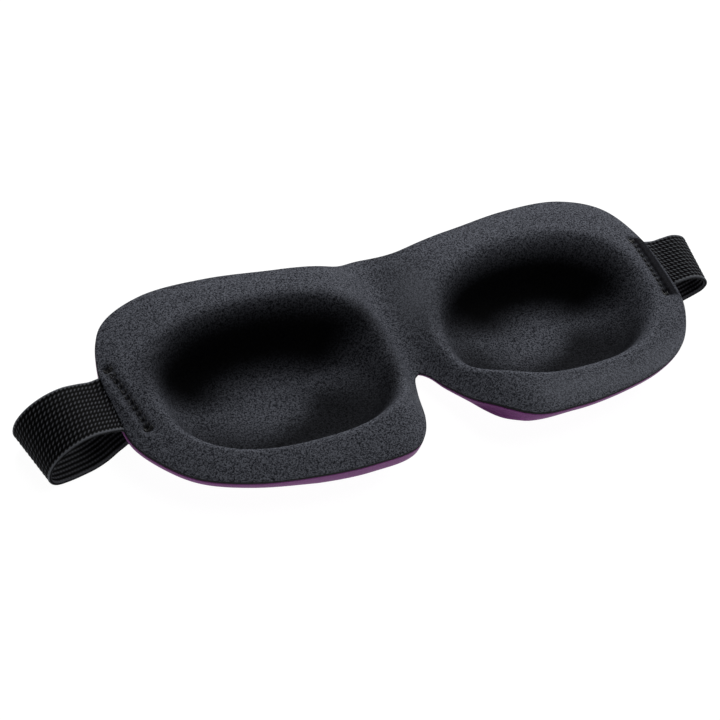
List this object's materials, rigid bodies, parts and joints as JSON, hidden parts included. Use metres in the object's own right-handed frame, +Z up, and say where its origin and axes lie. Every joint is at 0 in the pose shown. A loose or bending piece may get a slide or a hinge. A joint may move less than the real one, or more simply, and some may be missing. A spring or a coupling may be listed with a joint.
{
  "type": "sleep eye mask",
  "caption": "Contoured foam sleep mask with two deep eye cups, a nose notch, charcoal knit lining, purple outer cover and black elastic head straps.",
  "frame": {"origin": "on the surface it lies on, under the middle of the whole mask with its strap loops", "axes": "+X along the mask towards the smaller strap loop, +Y towards the forehead edge, +Z up, out of the face side"},
  "size_m": [0.266, 0.0894, 0.0237],
  "materials": {
    "lining": "brushed charcoal knit, matte",
    "foam": "black moulded foam, matte cut edge",
    "cover": "purple satin knit",
    "thread": "black polyester thread",
    "elastic": "black woven elastic",
    "hook": "black moulded hook tape",
    "loop": "black napped loop tape"
  },
  "bodies": {
    "left_half": {"left_lining": "lining", "left_foam_core": "foam", "left_outer_cover": "cover", "left_strap_stitching": "thread", "left_strap_root": "elastic"},
    "right_half": {"right_lining": "lining", "right_foam_core": "foam", "right_outer_cover": "cover", "right_strap_stitching": "thread", "right_strap_root": "elastic"},
    "left_strap": {"left_strap_tail": "elastic", "hook_patch": "hook", "hook_patch_stitching": "thread"},
    "right_strap": {"right_strap_tail": "elastic", "loop_patch": "loop", "loop_patch_stitching": "thread"}
  },
  "joints": [
    {"name": "bridge_fold", "type": "hinge", "parent": "left_half", "child": "right_half", "pos_m": [0.00577, 0, 0.0126], "axis": [0, -1, 0], "range_deg": [0, 110]},
    {"name": "left_strap_unfold", "type": "hinge", "parent": "left_half", "child": "left_strap", "pos_m": [-0.13112, 0.00136, 0.00865], "axis": [-0.1934, 0.9811, 0], "range_deg": [0, 170]},
    {"name": "right_strap_unfold", "type": "hinge", "parent": "right_half", "child": "right_strap", "pos_m": [0.13116, 0.00361, 0.01365], "axis": [-0.1896, -0.9819, 0], "range_deg": [0, 170]}
  ]
}
